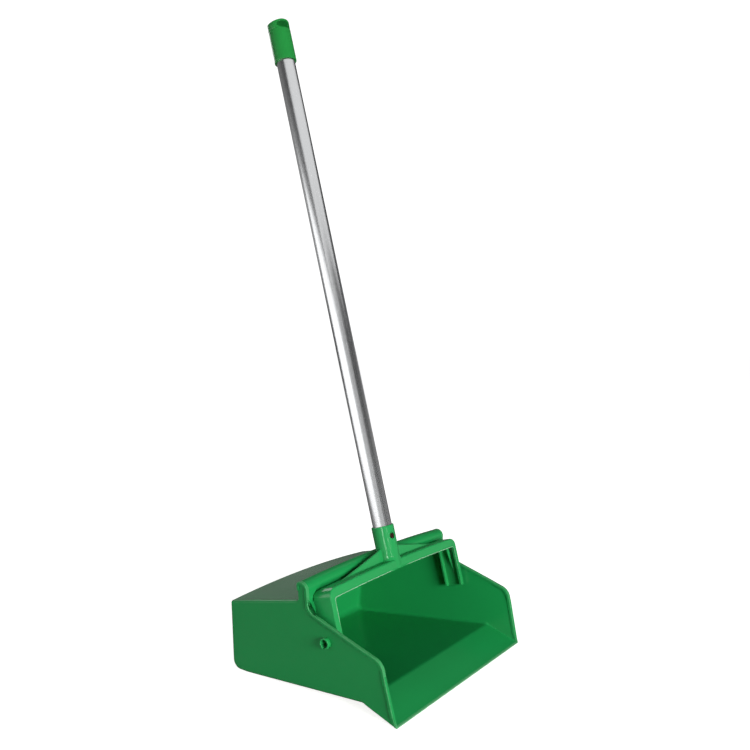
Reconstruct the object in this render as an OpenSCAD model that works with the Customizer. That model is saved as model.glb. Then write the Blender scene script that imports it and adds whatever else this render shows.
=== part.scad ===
// Hooded upright dust pan with a hinged yoke, a long aluminium handle and a hanging cap.
// Millimetres, +Z up, the mouth faces -Y. The origin is on the floor, at the middle of the
// whole object's length and width.

/* [Pan] */
// Width of the pan across its lip
pan_w = 283; // [240:1:320]
// Depth of the pan from the lip to the back wall
pan_d = 247.5; // [220:0.5:260]
// Wall thickness of the moulding
wall = 2.5; // [2:0.1:3]
// Thickness of the lip where it meets the floor
lip_t = 1.2; // [1:0.1:2]
// Depth of the ramp behind the lip
ramp_d = 44; // [30:1:50]
// Height of the ramp's underside at its ridge
ramp_h = 14.5; // [10:0.5:20]
// Height of the hood where it meets the back wall
back_h = 85; // [80:1:90]
// Height of the hood where it meets the flange
hood_h = 109; // [105:1:112]
// Inward slope of each side wall for each mm from lip to back
side_taper = 0.063; // [0.04:0.001:0.07]
// Outward slope of each side wall for each mm of height
side_flare = 0.079; // [0.06:0.001:0.09]

/* [Hood flange] */
// Distance from the lip to the flange's front face
flange_y = 114.5; // [114:0.5:118]
// Thickness of the flange, front to back
flange_t = 15; // [12:0.5:18]
// Height of the flange's top edge
flange_h = 131.5; // [128:0.5:136]

/* [Pivot] */
// Distance from the lip to the pivot axis
pivot_y = 90.5; // [88:0.5:92]
// Height of the pivot axis above the floor
pivot_z = 70; // [68:0.5:72]
// Outer diameter of each stud
stud_d = 12.5; // [11:0.5:14]
// Radial running clearance of a stud in its hole
stud_clearance = 0.08; // [0.02:0.01:0.1]
// How far each stud reaches from the centre plane
stud_reach = 146; // [144:1:150]

/* [Yoke] */
// Distance between the outer faces of the two arms
yoke_w = 270; // [264:1:272]
// Depth of the arms and the bar, front to back
yoke_d = 25; // [22:0.5:26]
// Height of the bar's top above the pivot, along the handle
bar_top = 55; // [52:0.5:58]
// Height of the bar's front band
bar_h = 11.5; // [9:0.5:14]
// Depth of each arm's flanges, outer face to inner edge
arm_t = 7.5; // [6:0.5:10]
// Length of each arm below the pivot
arm_foot = 7.5; // [7:0.5:10]
// Distance from the centre plane to the outer end of each gusset
gusset_reach = 92; // [70:1:110]

/* [Handle] */
// Backward lean of the handle at rest
lean = 14.3; // [12:0.1:16]
// Outer diameter of the tube
tube_d = 23.8; // [20:0.1:25]
// Wall thickness of the tube
tube_wall = 1; // [0.8:0.1:1.5]
// Height of the socket's mouth above the pivot, along the handle
socket_top = 99; // [90:1:110]
// Depth of tube held in the socket
socket_depth = 41; // [35:1:42]
// Length of tube that shows between the socket and the cap
tube_show = 601; // [500:1:900]
// Turn of the fixing screw about the handle, from straight ahead
screw_turn = -10; // [-30:1:30]

/* [Hanging cap] */
// Outer diameter of the cap
cap_d = 28.6; // [26:0.1:30]
// Length of the cap, mouth to crown
cap_len = 53; // [50:1:60]
// Depth of tube held in the cap
cap_depth = 38; // [30:1:40]
// Radius of the cap's arched crown
crown_r = 52; // [40:1:60]
// Turn of the cap about the handle
cap_turn = -8; // [-45:1:45]

/* [Hidden] */
$fn = 96;

moulding_green = [0.16, 0.58, 0.30];
bright_aluminium = [0.80, 0.81, 0.82];
plug_white = [0.85, 0.85, 0.82];
screw_zinc = [0.55, 0.45, 0.38];

half_w = pan_w / 2;
over = 1;
// Draft of the back wall, as a slope
back_draft = 0.05;
floor_contact_d = 8;
floor_back_y = pan_d - 13.5;
rim_front_y = 28;
rim_front_z = 70.5;
rim_slope = 0.342;
front_slope = 0.19;
hood_slope = (hood_h - back_h) / (pan_d - flange_y - flange_t);
flange_foot_z = 108;
// Height where the sloped rim would meet the flange's front face, and the front edge
rim_corner_z = rim_front_z + rim_slope * (flange_y - rim_front_y);
front_corner_z = (rim_front_z + rim_slope * (3 - rim_front_y)) / (1 - rim_slope * front_slope);
front_corner_y = 3 + front_slope * front_corner_z;

tube_r = tube_d / 2;
stud_r = stud_d / 2;
stud_bore_r = 4.2;
stud_split = 3.2;
arm_x = yoke_w / 2;
// The arms stand a little further forward of the handle's axis than behind it
arm_front = -yoke_d / 2 - 0.5;
arm_back = yoke_d / 2 - 0.5;
bar_low = bar_top - bar_h;
yoke_wall = 2.5;
yoke_corner_r = 10;
gusset_rise = 15;
gusset_t = 3;
socket_r_top = 13.85;
socket_r_foot = 13.6;
rib_t = 2;
rib_v = -3.5;
// The socket rests in a shallow saddle in the flange
saddle_r = socket_r_top + 0.5;
saddle_w = 40;

screw_u = socket_top - 13;
screw_shank_r = 1.5;
screw_head_r = 3.3;
screw_head_h = 1.4;
screw_len = 9;
screw_access_r = 3.7;

tube_foot = socket_top - socket_depth;
cap_foot = socket_top + tube_show;
cap_top = cap_foot + cap_len;
crown_u = cap_top - crown_r;
cap_r = cap_d / 2;
crown_wall = 2.5;
// Floor of the cap's window, a little above the end of the tube
sill_u = cap_foot + cap_depth + 3.5;
window_half = 11.3;
cap_web_t = 3;
hang_slot_h = 6;

// The rearmost point of the object is on the cap's shoulder, at the back
shoulder_u = crown_u + sqrt(crown_r * crown_r - pow(cap_r * sin(abs(cap_turn)), 2));
rear_y = pivot_y + shoulder_u * sin(lean) + cap_r * cos(lean);
mid_y = rear_y / 2;

// An arc of radius r at corner b of the path a-b-c, as a list of points
function corner_arc(a, b, c, r, steps = 8) =
    let (
        ab = (a - b) / norm(a - b),
        cb = (c - b) / norm(c - b),
        half = acos(ab * cb) / 2,
        centre = b + (ab + cb) / norm(ab + cb) * r / sin(half),
        from = b + ab * r / tan(half) - centre,
        start = atan2(from[1], from[0]),
        side = ab[0] * cb[1] - ab[1] * cb[0] > 0 ? -1 : 1,
        sweep = side * (180 - 2 * half)
    )
    [for (i = [0:steps]) centre + r * [cos(start + sweep * i / steps), sin(start + sweep * i / steps)]];

// A closed outline from corners [x, y, radius]; radius 0 keeps a corner sharp
function outline(corners) =
    let (count = len(corners))
    [
        for (i = [0:count - 1])
            let (
                before = corners[(i + count - 1) % count],
                at = corners[i],
                after = corners[(i + 1) % count]
            )
            each at[2] == 0
                ? [[at[0], at[1]]]
                : corner_arc([before[0], before[1]], [at[0], at[1]], [after[0], after[1]], at[2])
    ];

// Turns a drawing in the side plane (distance from lip, height) into a slab from x0 to x1
module side_slab(x0, x1) {
    translate([x0, 0, 0])
        rotate([90, 0, 90])
            linear_extrude(x1 - x0)
                children();
}

// Everything between the two sloping side planes, moved inwards by inset
module between_sides(inset) {
    intersection_for (side = [0, 1]) {
        mirror([side, 0, 0])
            translate([half_w - inset, 0, 0])
                rotate([0, atan(side_flare), 0])
                    rotate([0, 0, atan(side_taper)])
                        translate([-600, -150, -150])
                            cube([600, 600, 400]);
    }
}

// The pan's side outline, flange included
module pan_outline() {
    polygon(outline([
        [0, 0, 0],
        [ramp_d, ramp_h, 12],
        [floor_back_y - floor_contact_d, 0, 0],
        [pan_d, 0, 11],
        [pan_d - back_draft * back_h, back_h, 4],
        [flange_y + flange_t, hood_h, 5],
        [flange_y + flange_t, flange_h, 5],
        [flange_y, flange_h, 9],
        [flange_y, rim_corner_z, 12],
        [front_corner_y, front_corner_z, 16],
        [1, 3, 0]
    ]));
}

// The space inside the pan, open at the mouth and up inside the hollow flange
module pan_cavity() {
    polygon(outline([
        [-over, lip_t, 0],
        [ramp_d + 1, ramp_h + wall, 12],
        [floor_back_y - floor_contact_d, wall, 0],
        [pan_d - wall, wall, 8.5],
        [pan_d - wall - back_draft * back_h, back_h - wall, 2],
        [flange_y + flange_t - wall, hood_h - wall - 0.5, 3],
        [flange_y + flange_t - wall, flange_h - wall, 2.5],
        [flange_y + wall, flange_h - wall, 6.5],
        [flange_y + wall, flange_foot_z, 0],
        [flange_y, flange_foot_z, 0],
        [flange_y, flange_h + over, 0],
        [-over, flange_h + over, 0]
    ]));
}

// Floor, hood, flange and side walls
module pan_walls() {
    intersection() {
        between_sides(0);
        union() {
            side_slab(-200, 200)
                difference() {
                    pan_outline();
                    pan_cavity();
                }
            difference() {
                side_slab(-200, 200)
                    pan_outline();
                between_sides(wall);
            }
        }
    }
}

// The flange made solid around a rod of radius r along the handle
module saddle_wall(r) {
    intersection() {
        side_slab(-saddle_w / 2, saddle_w / 2)
            intersection() {
                pan_outline();
                translate([flange_y, flange_foot_z])
                    square([flange_t, flange_h]);
            }
        translate([0, mid_y, 0])
            on_handle()
                cylinder(h = socket_top, r = r);
    }
}

module pan() {
    color(moulding_green)
    translate([0, -mid_y, 0])
    difference() {
        union() {
            pan_walls();
            saddle_wall(saddle_r + wall);
        }
        // Holes for the yoke's studs
        translate([-200, pivot_y, pivot_z])
            rotate([0, 90, 0])
                cylinder(h = 400, r = stud_r + stud_clearance);
        translate([0, mid_y, 0])
            on_handle()
                cylinder(h = socket_top + over, r = saddle_r);
    }
}

// Places a shape drawn along the handle: x across, y behind the axis, z up the handle
module on_handle() {
    translate([0, pivot_y - mid_y, pivot_z])
        rotate([-lean, 0, 0])
            children();
}

// The yoke seen from the front, drawn inset from its outer edge
module yoke_front(inset, foot) {
    reach = arm_x - inset;
    top = bar_top - inset;
    polygon(outline([
        [-reach, -foot, 0],
        [-reach, top, yoke_corner_r - inset],
        [reach, top, yoke_corner_r - inset],
        [reach, -foot, 0]
    ]));
}

// A drawing in the front plane made into a slab from y = v0 to y = v1
module front_slab(v0, v1) {
    translate([0, v1, 0])
        rotate([90, 0, 0])
            linear_extrude(v1 - v0)
                children();
}

// The inverted U: a bar and two arms, each a channel open towards the inside
module yoke_frame() {
    difference() {
        intersection() {
            front_slab(arm_front, arm_back)
                yoke_front(0, arm_foot);
            side_slab(-arm_x, arm_x)
                polygon(outline([
                    [arm_front, -arm_foot, 0],
                    [arm_front, bar_top, 2],
                    [arm_back, bar_top, 8],
                    [arm_back, -arm_foot, 0]
                ]));
        }
        front_slab(arm_front - over, arm_back + over)
            translate([-(arm_x - arm_t), -arm_foot - over])
                square([2 * (arm_x - arm_t), bar_low + arm_foot + over]);
        front_slab(arm_front + yoke_wall, arm_back - yoke_wall)
            yoke_front(yoke_wall, arm_foot + over);
    }
}

// The rib inside each arm, full depth under the bar and fading out at the pivot
module arm_rib() {
    front_slab(rib_v, rib_v + rib_t)
        polygon([
            [arm_x - yoke_wall + 0.5, 4],
            [arm_x - yoke_wall + 0.5, bar_top - 3],
            [arm_x - arm_t + 1, bar_top - 3],
            [arm_x - arm_t + 1, bar_low - 4]
        ]);
}

// A hollow stud, split along its underside
module stud() {
    difference() {
        translate([arm_x - 0.5, 0, 0])
            rotate([0, 90, 0])
                cylinder(h = stud_reach - arm_x + 0.5, r = stud_r);
        translate([arm_x, 0, 0])
            rotate([0, 90, 0])
                cylinder(h = stud_reach, r = stud_bore_r);
        rotate([lean, 0, 0])
            translate([arm_x, -stud_split / 2, -stud_d])
                cube([stud_reach, stud_split, stud_d]);
    }
}

module yoke() {
    color(moulding_green)
    on_handle()
    difference() {
        union() {
            yoke_frame();
            front_slab(-gusset_t / 2, gusset_t / 2)
                polygon([
                    [-gusset_reach, bar_top - 1],
                    [-socket_r_top, bar_top + gusset_rise],
                    [socket_r_top, bar_top + gusset_rise],
                    [gusset_reach, bar_top - 1]
                ]);
            translate([0, 0, bar_low])
                cylinder(h = socket_top - bar_low, r1 = socket_r_foot, r2 = socket_r_top);
            for (side = [0, 1])
                mirror([side, 0, 0]) {
                    arm_rib();
                    stud();
                }
        }
        translate([0, 0, tube_foot])
            cylinder(h = socket_depth + over, r = tube_r);
        translate([0, 0, bar_low - over])
            cylinder(h = tube_foot - bar_low - yoke_wall, r = tube_r - 1);
        // Access hole for the fixing screw
        rotate([0, 0, screw_turn])
            translate([0, 0, screw_u])
                rotate([90, 0, 0])
                    cylinder(h = 2 * tube_d, r = screw_access_r);
    }
}

module handle_tube() {
    color(bright_aluminium)
    on_handle()
    difference() {
        translate([0, 0, tube_foot])
            cylinder(h = socket_depth + tube_show + cap_depth, r = tube_r);
        translate([0, 0, tube_foot - over])
            cylinder(h = socket_depth + tube_show + cap_depth + 2 * over, r = tube_r - tube_wall);
        rotate([0, 0, screw_turn])
            translate([0, 0, screw_u])
                rotate([90, 0, 0])
                    cylinder(h = tube_d, r = screw_shank_r);
    }
}

// The plug that fills the tube's lower end and gives the screw its bite
module tube_plug() {
    color(plug_white)
    on_handle()
    difference() {
        translate([0, 0, tube_foot])
            cylinder(h = socket_depth - 4, r = tube_r - tube_wall);
        rotate([0, 0, screw_turn])
            translate([0, 0, screw_u])
                rotate([90, 0, 0])
                    cylinder(h = tube_d, r = screw_shank_r);
    }
}

module tube_screw() {
    color(screw_zinc)
    on_handle()
    rotate([0, 0, screw_turn])
    translate([0, -tube_r, screw_u])
    rotate([90, 0, 0])
    difference() {
        union() {
            cylinder(h = screw_head_h, r1 = screw_head_r, r2 = screw_head_r - 0.6);
            translate([0, 0, -screw_len])
                cylinder(h = screw_len, r = screw_shank_r);
        }
        // Cross recess
        for (turn = [0, 90])
            rotate([0, 0, turn])
                translate([-1.9, -0.4, 0.5])
                    cube([3.8, 0.8, screw_head_h]);
    }
}

// The cap's D-shaped window, up to a height above its floor
module cap_window(height) {
    intersection() {
        translate([0, crown_u])
            circle(r = crown_r - crown_wall);
        translate([-window_half, sill_u])
            square([2 * window_half, height]);
    }
}

module hanging_cap() {
    color(moulding_green)
    on_handle()
    rotate([0, 0, cap_turn])
    difference() {
        translate([0, 0, cap_foot])
            cylinder(h = cap_len, r = cap_r);
        translate([0, 0, cap_foot - over])
            cylinder(h = cap_depth + over, r = tube_r);
        // Arched crown: the corners above a cylinder lying front to back come off
        front_slab(-cap_d, cap_d)
            difference() {
                translate([-cap_d, crown_u])
                    square([2 * cap_d, cap_len]);
                translate([0, crown_u])
                    circle(r = crown_r);
            }
        // A D-shaped pocket from each side leaves a web in the middle
        for (side = [0, 1])
            mirror([0, side, 0])
                front_slab(-cap_d, -cap_web_t / 2)
                    cap_window(cap_len);
        // Hanging slot through the web, along the pocket's floor
        front_slab(-cap_d, cap_d)
            cap_window(hang_slot_h);
    }
}

pan();
yoke();
handle_tube();
tube_plug();
tube_screw();
hanging_cap();
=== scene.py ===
"""Upright hooded dust pan: moulded pan, hinged yoke, drawn aluminium handle and hanging cap.

Every length in the classes below is in millimetres and in the part's own terms; the meshes are
written in metres in the row frame, where the floor is z = 0 and the mouth faces -Y.
"""

import logging
import math
from collections.abc import Callable, Sequence
from dataclasses import dataclass, field
from enum import Enum
from typing import Any

import bmesh
import bpy
import numpy as np
from mathutils import Matrix, Vector


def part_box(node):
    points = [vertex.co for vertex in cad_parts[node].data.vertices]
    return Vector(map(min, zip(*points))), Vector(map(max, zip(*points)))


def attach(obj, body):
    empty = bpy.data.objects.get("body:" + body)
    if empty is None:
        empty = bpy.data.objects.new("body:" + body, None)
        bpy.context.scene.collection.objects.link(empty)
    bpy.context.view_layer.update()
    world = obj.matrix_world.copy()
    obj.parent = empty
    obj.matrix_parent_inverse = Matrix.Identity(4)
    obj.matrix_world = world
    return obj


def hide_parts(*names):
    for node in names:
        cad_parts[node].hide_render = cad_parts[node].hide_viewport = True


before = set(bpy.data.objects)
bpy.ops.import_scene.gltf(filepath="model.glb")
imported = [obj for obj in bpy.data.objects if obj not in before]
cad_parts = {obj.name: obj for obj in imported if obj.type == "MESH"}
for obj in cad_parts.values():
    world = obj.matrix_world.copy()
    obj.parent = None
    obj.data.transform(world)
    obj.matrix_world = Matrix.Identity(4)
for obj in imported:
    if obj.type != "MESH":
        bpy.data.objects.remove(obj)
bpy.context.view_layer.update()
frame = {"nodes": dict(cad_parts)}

LOG = logging.getLogger("dust_pan")
MM = 0.001
Array = np.ndarray
Rise = Callable[[Array], Array]


# ---------------------------------------------------------------- outlines and grids


@dataclass(frozen=True)
class Path:
    """A line in a plane: its points, and the unit normals to the left of its travel."""

    points: Array
    normals: Array
    corner_rows: tuple[int, ...]

    def at(self, shares: Array) -> tuple[Array, Array]:
        """Points and normals at shares of the path's length.

        Args:
            shares: Values from 0, the start, to 1, the end.

        Returns:
            The points and the unit normals there, each of shape (n, 2).
        """
        length = travelled(self.points)
        length = length / length[-1]
        spots = np.stack([np.interp(shares, length, self.points[:, k]) for k in (0, 1)], axis=1)
        turned = np.stack([np.interp(shares, length, self.normals[:, k]) for k in (0, 1)], axis=1)
        return spots, turned / np.linalg.norm(turned, axis=1, keepdims=True)


def unit(vector: Array) -> Array:
    """The vector at length one."""
    return vector / np.linalg.norm(vector)


def quarter(count: int) -> tuple[Array, Array]:
    """1 - sin and 1 - cos of angles over a quarter turn: the two legs of a rounded edge."""
    turn = np.linspace(0, math.pi / 2, count)
    return 1 - np.sin(turn), 1 - np.cos(turn)


def travelled(points: Array) -> Array:
    """Distance along a line of points, from its first to each of them."""
    steps = np.linalg.norm(np.diff(points, axis=0), axis=1)
    return np.concatenate([[0.0], np.cumsum(steps)])


def shown(piece: bpy.types.Object) -> bpy.types.Object:
    """Puts an object into the scene and hands it back."""
    bpy.context.scene.collection.objects.link(piece)
    return piece


def smooth(mesh: bpy.types.Mesh, crease: float) -> None:
    """Shades a mesh smooth but for the edges that turn by more than crease degrees."""
    mesh.shade_smooth()
    mesh.set_sharp_from_angle(angle=math.radians(crease))


def eased(count: int, pull: float = 0.75) -> Array:
    """Shares from 0 to just under 1 that crowd towards both ends.

    The share s becomes s - pull * sin(2 pi s) / (2 pi).

    Args:
        count: How many shares.
        pull: 0 spaces them evenly, 1 crowds them most.

    Returns:
        The shares, without the last one at 1.
    """
    share = np.arange(count) / count
    return share - pull * np.sin(2 * math.pi * share) / (2 * math.pi)


def rounded_path(
    corners: Sequence[tuple[float, float, float]], leg_steps: Sequence[int], arc_steps: int
) -> Path:
    """Straight legs joined by arcs.

    At a corner of radius r whose legs open by an angle, the arc's centre lies on the bisector
    at r / sin(half of it), and the arc touches each leg at r / tan(half of it).

    Args:
        corners: (across, up, radius) of each corner; the first and last are the path's ends.
        leg_steps: Steps along each straight leg, one number per leg.
        arc_steps: Steps along each arc.

    Returns:
        The path, with the row in the middle of each arc.
    """
    spot = np.array([c[:2] for c in corners], float)
    points: list[Array] = []
    normals: list[Array] = []
    rows: list[int] = [0]
    start = spot[0]
    for i in range(1, len(corners) - 1):
        radius = max(corners[i][2], 0.02)
        back = unit(spot[i - 1] - spot[i])
        ahead = unit(spot[i + 1] - spot[i])
        half = 0.5 * math.acos(float(np.clip(back @ ahead, -1, 1)))
        centre = spot[i] + unit(back + ahead) * radius / math.sin(half)
        enter = spot[i] + back * radius / math.tan(half)
        turn = math.copysign(1.0, back[1] * ahead[0] - back[0] * ahead[1])
        share = eased(leg_steps[i - 1])[:, None]
        points.append(start + (enter - start) * share)
        normals.append(np.tile([back[1], -back[0]], (leg_steps[i - 1], 1)))
        first = math.atan2(enter[1] - centre[1], enter[0] - centre[0])
        angle = first + turn * (math.pi - 2 * half) * np.arange(arc_steps) / arc_steps
        spoke = np.stack([np.cos(angle), np.sin(angle)], axis=1)
        rows.append(sum(len(p) for p in points) + arc_steps // 2)
        points.append(centre + radius * spoke)
        normals.append(-turn * spoke)
        start = spot[i] + ahead * radius / math.tan(half)
    last = unit(spot[-1] - start)
    share = np.append(eased(leg_steps[-1]), 1.0)[:, None]
    points.append(start + (spot[-1] - start) * share)
    normals.append(np.tile([-last[1], last[0]], (leg_steps[-1] + 1, 1)))
    count = sum(len(p) for p in points)
    rows.append(count - 1)
    return Path(np.concatenate(points), np.concatenate(normals), tuple(rows))


@dataclass
class Skin:
    """Gathers grids of points into one closed mesh."""

    points: list[Array] = field(default_factory=list)
    faces: list[Array] = field(default_factory=list)
    loops: list[Array] = field(default_factory=list)
    wear_and_sheen: list[Array] = field(default_factory=list)
    count: int = 0

    def grid(self, points: Array, wrap: bool = False, wear_and_sheen: Array | None = None) -> None:
        """Adds a surface given as rows and columns of points.

        Args:
            points: Points of shape (rows, columns, 3), in millimetres in the row frame.
            wrap: Whether the last column joins the first.
            wear_and_sheen: How far each point is painted towards pale, from 0 to 1, for wear and
                for painted highlights; none if left out.
        """
        rows, columns = points.shape[:2]
        index = self.count + np.arange(rows * columns).reshape(rows, columns)
        if wrap:
            index = np.concatenate([index, index[:, :1]], axis=1)
        quads = np.stack([index[:-1, :-1], index[:-1, 1:], index[1:, 1:], index[1:, :-1]], axis=-1)
        self.faces.append(quads.reshape(-1, 4))
        self.points.append(points.reshape(-1, 3))
        self.wear_and_sheen.append(np.zeros(rows * columns) if wear_and_sheen is None else wear_and_sheen.reshape(-1))
        self.count += rows * columns

    def strip(self, points: Array, wear_and_sheen: Array | None = None) -> None:
        """Adds a wrapped grid with a flat face over its first and its last row."""
        self.grid(points, wrap=True, wear_and_sheen=wear_and_sheen)
        self.polygon(points[0])
        self.polygon(points[-1])

    def sleeve(self, points: Array, outer: int, wear_and_sheen: Array | None = None) -> None:
        """Adds a wall with two skins, closed between them along its first and its last row.

        Args:
            points: Points of shape (rows, columns, 3): the outer skin's columns, then the
                inner skin's in the opposite order.
            outer: How many columns are the outer skin's.
            wear_and_sheen: How far each point is painted towards pale, from 0 to 1, for wear and
                for painted highlights; none if left out.
        """
        self.grid(points, wrap=True, wear_and_sheen=wear_and_sheen)
        for row in (points[0], points[-1]):
            self.grid(np.stack([row[:outer], row[outer:][::-1]]))

    def polygon(self, ring: Array) -> None:
        """Adds one flat face.

        Args:
            ring: The points round it, of shape (n, 3).
        """
        self.loops.append(self.count + np.arange(len(ring)))
        self.points.append(ring)
        self.wear_and_sheen.append(np.zeros(len(ring)))
        self.count += len(ring)

    def build(self, name: str, weld: float = 0.002, crease: float = 50.0) -> bpy.types.Object:
        """Makes the object, welded, facing outwards and smooth but for its sharp edges.

        Args:
            name: The object's name.
            weld: Points closer than this many millimetres become one.
            crease: Edges that turn by more than this many degrees stay sharp.

        Returns:
            The new object, at the origin.
        """
        mesh = bpy.data.meshes.new(name)
        faces = [quad for block in self.faces for quad in block.tolist()]
        faces += [loop.tolist() for loop in self.loops]
        mesh.from_pydata(np.concatenate(self.points) * MM, [], faces)
        layer = mesh.attributes.new("wear_and_sheen", "FLOAT", "POINT")
        layer.data.foreach_set("value", np.concatenate(self.wear_and_sheen).astype(np.float32))
        form = bmesh.new()
        form.from_mesh(mesh)
        bmesh.ops.remove_doubles(form, verts=form.verts, dist=weld * MM)
        bmesh.ops.dissolve_degenerate(form, edges=form.edges, dist=weld * MM)
        bmesh.ops.recalc_face_normals(form, faces=form.faces)
        form.to_mesh(mesh)
        form.free()
        smooth(mesh, crease)
        mesh.update()
        return shown(bpy.data.objects.new(name, mesh))


def smooth_step(values: Array, low: float, high: float) -> Array:
    """0 below low, 1 above high, and 3t^2 - 2t^3 in between, t being the share of the way."""
    share = np.clip((values - low) / (high - low), 0, 1)
    return share * share * (3 - 2 * share)


# ---------------------------------------------------------------- shaders


class Wire:
    """A shader output that takes Python's arithmetic, adding Math nodes as it goes."""

    def __init__(self, bench: "Bench", socket: bpy.types.NodeSocket) -> None:
        """Wraps a socket of the bench's material."""
        self.bench = bench
        self.socket = socket

    def _math(self, operation: str, *values: "Wire | float") -> "Wire":
        """One Math node on these values."""
        return self.bench.node(
            "ShaderNodeMath", {"operation": operation}, dict(enumerate(values))
        )

    def __add__(self, other: "Wire | float") -> "Wire":
        """self + other."""
        return self._math("ADD", self, other)

    def __radd__(self, other: float) -> "Wire":
        """other + self."""
        return self._math("ADD", other, self)

    def __sub__(self, other: "Wire | float") -> "Wire":
        """self - other."""
        return self._math("SUBTRACT", self, other)

    def __rsub__(self, other: float) -> "Wire":
        """other - self."""
        return self._math("SUBTRACT", other, self)

    def __mul__(self, other: "Wire | float") -> "Wire":
        """self * other."""
        return self._math("MULTIPLY", self, other)

    def __rmul__(self, other: float) -> "Wire":
        """other * self."""
        return self._math("MULTIPLY", other, self)

    def clamped(self) -> "Wire":
        """The value held between 0 and 1."""
        return self.bench.node("ShaderNodeClamp", {}, {0: self})


class Bench:
    """One material's node tree, with a Principled surface to dress."""

    def __init__(self, name: str) -> None:
        """Starts an empty material.

        Args:
            name: Its name.
        """
        self.material = bpy.data.materials.new(name)
        self.material.use_nodes = True
        self.tree = self.material.node_tree
        self.tree.nodes.clear()
        self.surface = self.tree.nodes.new("ShaderNodeBsdfPrincipled")
        output = self.tree.nodes.new("ShaderNodeOutputMaterial")
        self.tree.links.new(self.surface.outputs[0], output.inputs["Surface"])

    def node(
        self,
        kind: str,
        settings: dict[str, Any] | None = None,
        inputs: dict[str | int, Any] | None = None,
        output: str | int = 0,
    ) -> Wire:
        """Adds a node.

        Args:
            kind: The node's type.
            settings: Its own settings, such as a Math node's operation, set first.
            inputs: A value or a Wire for each named or numbered socket.
            output: Which of its outputs comes back.

        Returns:
            That output.
        """
        made = self.tree.nodes.new(kind)
        for key, value in (settings or {}).items():
            setattr(made, key, value)
        for key, value in (inputs or {}).items():
            self.feed(made.inputs[key], value)
        return Wire(self, made.outputs[output])

    def feed(self, socket: bpy.types.NodeSocket, value: Any) -> None:
        """Sets or links a socket.

        Args:
            socket: The socket.
            value: A plain value, or a Wire to link.
        """
        if isinstance(value, Wire):
            self.tree.links.new(value.socket, socket)
        else:
            socket.default_value = value

    def dress(self, **inputs: Any) -> None:
        """Feeds the Principled surface; base_color stands for the socket Base Color."""
        for key, value in inputs.items():
            socket = key.replace("_", " ").title().replace("Ior", "IOR")
            self.feed(self.surface.inputs[socket], value)

    def place(self) -> Wire:
        """The point's own place on the object."""
        return self.node("ShaderNodeTexCoord", output="Object")

    def noise(self, where: Wire, scale: float, detail: float = 2.0, rough: float = 0.5) -> Wire:
        """Soft noise from 0 to 1.

        Args:
            where: Where it is read.
            scale: Grains per metre.
            detail: Octaves.
            rough: How strong the finer octaves are.

        Returns:
            The noise value.
        """
        return self.node(
            "ShaderNodeTexNoise",
            {"noise_dimensions": "3D"},
            {"Vector": where, "Scale": scale, "Detail": detail, "Roughness": rough},
        )

    def blend(self, share: Wire, first: Any, second: Any) -> Wire:
        """A colour between two others.

        Args:
            share: 0 gives the first colour and 1 the second.
            first: Three numbers, or a Wire.
            second: Three numbers, or a Wire.

        Returns:
            The colour.
        """
        ends = [c if isinstance(c, Wire) else (*c, 1.0) for c in (first, second)]
        # A Mix node's colour sockets are its seventh and eighth, and its colour output the third
        inputs = {0: share, 6: ends[0], 7: ends[1]}
        return self.node("ShaderNodeMix", {"data_type": "RGBA"}, inputs, 2)

    def stretched(self, where: Wire, scale: tuple[float, float, float]) -> Wire:
        """A place drawn out or squeezed along each axis."""
        return self.node("ShaderNodeMapping", {}, {"Vector": where, "Scale": scale})

    def relief(self, height: Wire, depth: float, before: Wire | None = None) -> Wire:
        """A bump normal.

        Args:
            height: The height, from 0 to 1.
            depth: What a height of 1 stands for, in millimetres.
            before: A normal to bump further, if any.

        Returns:
            The new normal.
        """
        inputs: dict[str | int, Any] = {"Strength": 1.0, "Distance": depth * MM, "Height": height}
        if before is not None:
            inputs["Normal"] = before
        return self.node("ShaderNodeBump", {}, inputs)


@dataclass(frozen=True)
class MouldedPlastic:
    """Semi-gloss moulded polypropylene with a soft ripple, a fine grain, and edges painted pale as
    wear and as painted highlights.

    colour is the linear base colour. ripple and grain are the heights, in millimetres, of the
    slow waves that a mould leaves on a flat and of the fine texture on top of them.
    """

    name: str
    colour: tuple[float, float, float]
    roughness: float = 0.22
    ripple: float = 0.015
    grain: float = 0.004

    def material(self) -> bpy.types.Material:
        """Builds the material.

        Returns:
            The material.
        """
        bench = Bench(self.name)
        where = bench.place()
        cloud = bench.noise(where, 8.0, 3.0)
        flow = bench.noise(where, 22.0, 1.0)
        grain = bench.noise(where, 2200.0, 3.0, 0.6)
        # Where the wear attribute is high a point is painted towards pale; the yoke uses this for a
        # painted highlight along its raised line
        wear_and_sheen = bench.node("ShaderNodeAttribute", {"attribute_name": "wear_and_sheen"}, output="Fac")
        along = bench.stretched(where, (700.0, 30.0, 700.0))
        rubbed_and_sheen = (wear_and_sheen * (bench.noise(along, 1.0, 2.0) * 1.2 + 0.3)).clamped()
        deep = tuple(0.94 * c for c in self.colour)
        light = tuple(1.06 * c for c in self.colour)
        pale = tuple(0.7 * c + 0.36 for c in self.colour)
        bench.dress(
            base_color=bench.blend(rubbed_and_sheen * rubbed_and_sheen, bench.blend(cloud, deep, light), pale),
            roughness=(flow * 0.08 + rubbed_and_sheen * 0.2 + (self.roughness - 0.04)).clamped(),
            ior=1.49,
            normal=bench.relief(grain, self.grain, bench.relief(flow, self.ripple)),
        )
        return bench.material


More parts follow.
